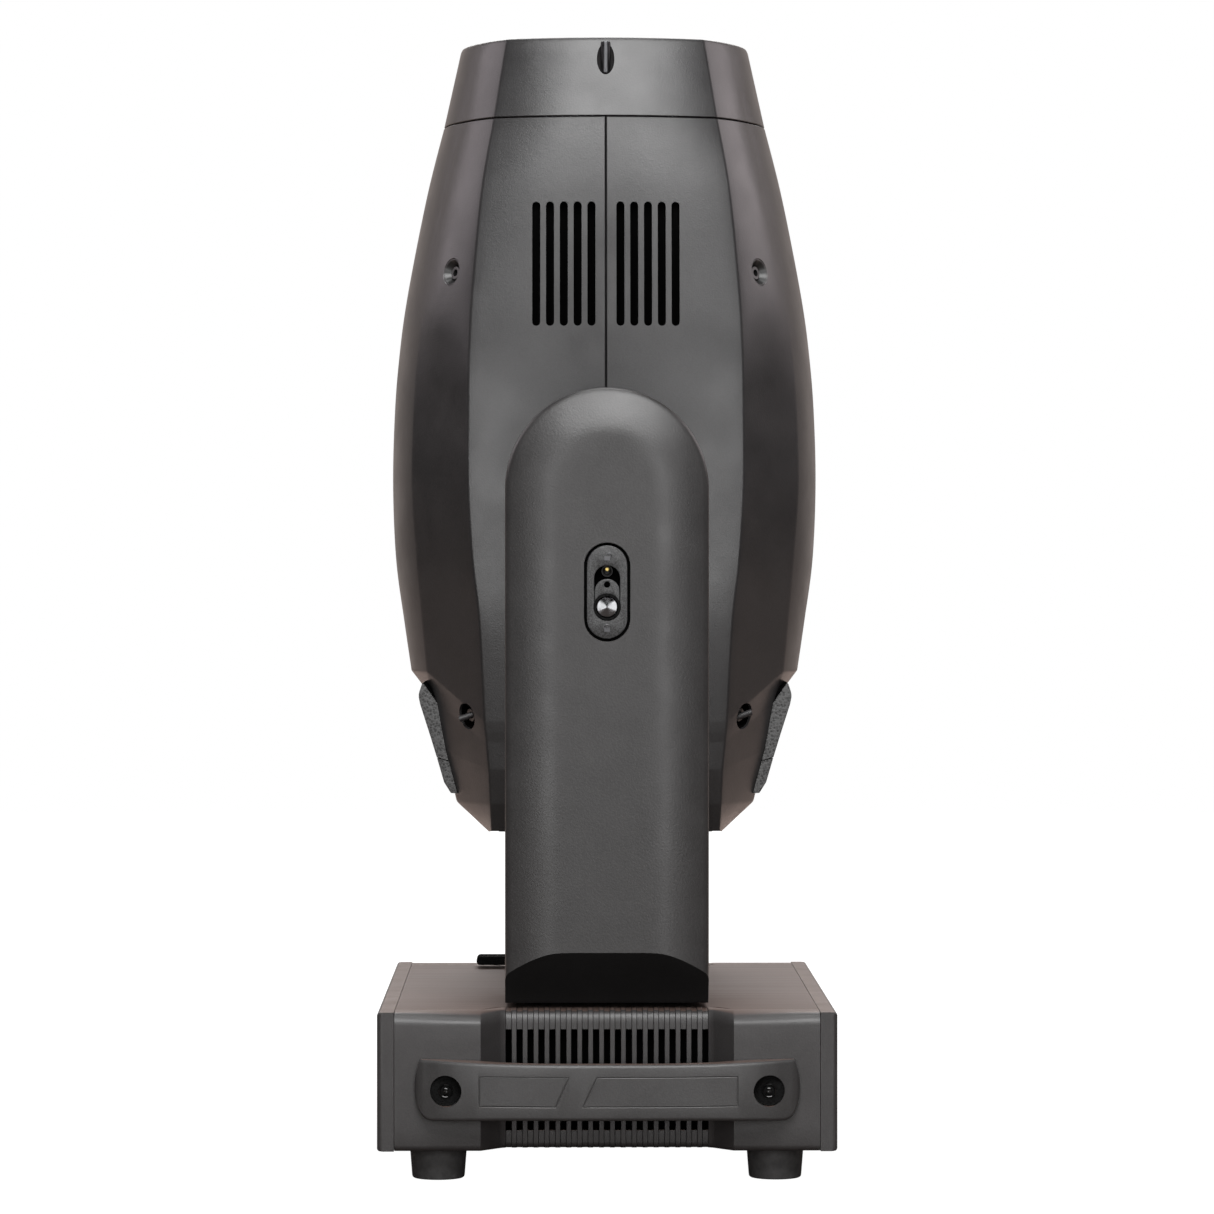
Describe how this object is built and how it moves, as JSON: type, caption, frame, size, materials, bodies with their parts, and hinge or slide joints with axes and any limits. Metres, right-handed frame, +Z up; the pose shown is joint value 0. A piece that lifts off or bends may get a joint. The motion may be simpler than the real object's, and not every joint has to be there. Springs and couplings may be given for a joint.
{
  "type": "moving head light",
  "caption": "Moving head stage light: a tapered head tilts between the two arms of a yoke, which pans on a low box base with carrying handles and rubber feet.",
  "frame": {"origin": "on the floor under the pan axis, at the middle of the base", "axes": "+Z up along the pan axis; Y along the tilt axis through both yoke arms and both carrying handles, -Y on the side of the arm with the tilt lock; +X towards the display panel, -X towards the connectors"},
  "size_m": [0.26, 0.394, 0.657],
  "materials": {
    "housing": "dark grey moulded plastic with a fine grain",
    "base_metal": "dark grey-brown satin paint",
    "black_plastic": "black, smooth",
    "rubber": "black, matte",
    "steel": "bright machined steel",
    "aluminium": "plain machined or extruded",
    "glass": "clear, polished",
    "screen": "dark glossy display window",
    "intake_foam": "coarse open filter mesh",
    "connector_blue": "blue moulded plastic"
  },
  "bodies": {
    "base": {"base_tray": "base_metal", "base_top": "base_metal", "display_panel": "housing", "connector_panel": "housing", "side_cover_near": "housing", "side_cover_far": "housing", "handle_near": "housing", "handle_far": "housing", "handle_bolt_near_left": "black_plastic", "handle_bolt_near_right": "black_plastic", "handle_bolt_far_left": "black_plastic", "handle_bolt_far_right": "black_plastic", "foot_near_left": "rubber", "foot_near_right": "rubber", "foot_far_left": "rubber", "foot_far_right": "rubber", "display_window": "screen", "power_inlet": "connector_blue", "dmx_in": "steel", "dmx_out": "steel", "pan_shaft": "aluminium", "power_supply": "aluminium"},
    "menu_button": {"button_menu": "black_plastic"},
    "enter_button": {"button_enter": "black_plastic"},
    "encoder": {"encoder_knob": "black_plastic"},
    "yoke": {"yoke_frame": "base_metal", "bridge_cover": "housing", "arm_cover_near": "housing", "arm_cover_far": "housing", "arm_inner_near": "housing", "arm_inner_far": "housing", "tilt_bearing_near": "steel", "tilt_bearing_far": "steel", "tilt_lock_plate": "housing", "pan_motor": "steel", "pan_belt": "rubber", "tilt_motor": "steel", "tilt_belt": "rubber"},
    "tilt_lock_button": {"tilt_lock_slider": "black_plastic"},
    "pan_lock_tab": {"pan_lock_lever": "black_plastic"},
    "pan_motor_pinion": {"pan_pinion": "steel"},
    "tilt_motor_pinion": {"tilt_pinion": "steel"},
    "head": {"head_shell_front": "housing", "head_shell_back": "housing", "intake_pad_front": "intake_foam", "intake_pad_back": "intake_foam", "front_bezel": "housing", "front_lens": "glass", "chassis_near": "aluminium", "chassis_far": "aluminium", "tilt_pulley": "aluminium", "rear_cap": "black_plastic", "heat_sink": "aluminium", "led_engine": "steel", "optics_frame": "aluminium"},
    "fan": {"fan_rotor": "black_plastic"},
    "colors": {"color_wheel": "glass"},
    "gobos": {"gobo_wheel": "steel"},
    "focus": {"focus_carriage": "black_plastic"},
    "zoom": {"zoom_carriage": "black_plastic"}
  },
  "joints": [
    {"name": "pan", "type": "hinge", "parent": "base", "child": "yoke", "pos_m": [0, 0, 0.1], "axis": [0, 0, 1], "range_deg": [-270, 270]},
    {"name": "tilt", "type": "hinge", "parent": "yoke", "child": "head", "pos_m": [0, 0, 0.392], "axis": [0, 1, 0], "range_deg": [-135, 135]},
    {"name": "pan_pinion_spin", "type": "hinge", "parent": "yoke", "child": "pan_motor_pinion", "pos_m": [0, 0.1395, 0.116], "axis": [0, 0, 1], "range_deg": [-1215, 1215]},
    {"name": "tilt_pinion_spin", "type": "hinge", "parent": "yoke", "child": "tilt_motor_pinion", "pos_m": [0, -0.1325, 0.282], "axis": [0, 1, 0], "range_deg": [-675, 675]},
    {"name": "tilt_lock_slide", "type": "slide", "parent": "yoke", "child": "tilt_lock_button", "axis": [0, 0, 1], "range_m": [0, 0.0068]},
    {"name": "pan_lock_slide", "type": "slide", "parent": "yoke", "child": "pan_lock_tab", "axis": [1, 0, 0], "range_m": [0, 0.008]},
    {"name": "menu_press", "type": "slide", "parent": "base", "child": "menu_button", "axis": [-1, 0, 0], "range_m": [0, 0.001], "stiffness_N_per_m": 300},
    {"name": "enter_press", "type": "slide", "parent": "base", "child": "enter_button", "axis": [-1, 0, 0], "range_m": [0, 0.001], "stiffness_N_per_m": 300},
    {"name": "encoder_turn", "type": "hinge", "parent": "base", "child": "encoder", "pos_m": [0.1255, 0.03, 0.057], "axis": [1, 0, 0], "continuous": true},
    {"name": "fan_spin", "type": "hinge", "parent": "head", "child": "fan", "pos_m": [0, 0, 0.208], "axis": [0, 0, 1], "continuous": true},
    {"name": "color_wheel_turn", "type": "hinge", "parent": "head", "child": "colors", "pos_m": [0.042, 0, 0.3098], "axis": [0, 0, 1], "continuous": true},
    {"name": "gobo_wheel_turn", "type": "hinge", "parent": "head", "child": "gobos", "pos_m": [-0.042, 0, 0.3288], "axis": [0, 0, 1], "continuous": true},
    {"name": "focus_travel", "type": "slide", "parent": "head", "child": "focus", "axis": [0, 0, 1], "range_m": [-0.05, 0.05]},
    {"name": "zoom_travel", "type": "slide", "parent": "head", "child": "zoom", "axis": [0, 0, 1], "range_m": [-0.03, 0.07]}
  ],
  "couplings": [
    {"joint": "pan_pinion_spin", "follows": "pan", "ratio": -4.5},
    {"joint": "tilt_pinion_spin", "follows": "tilt", "ratio": 5}
  ]
}
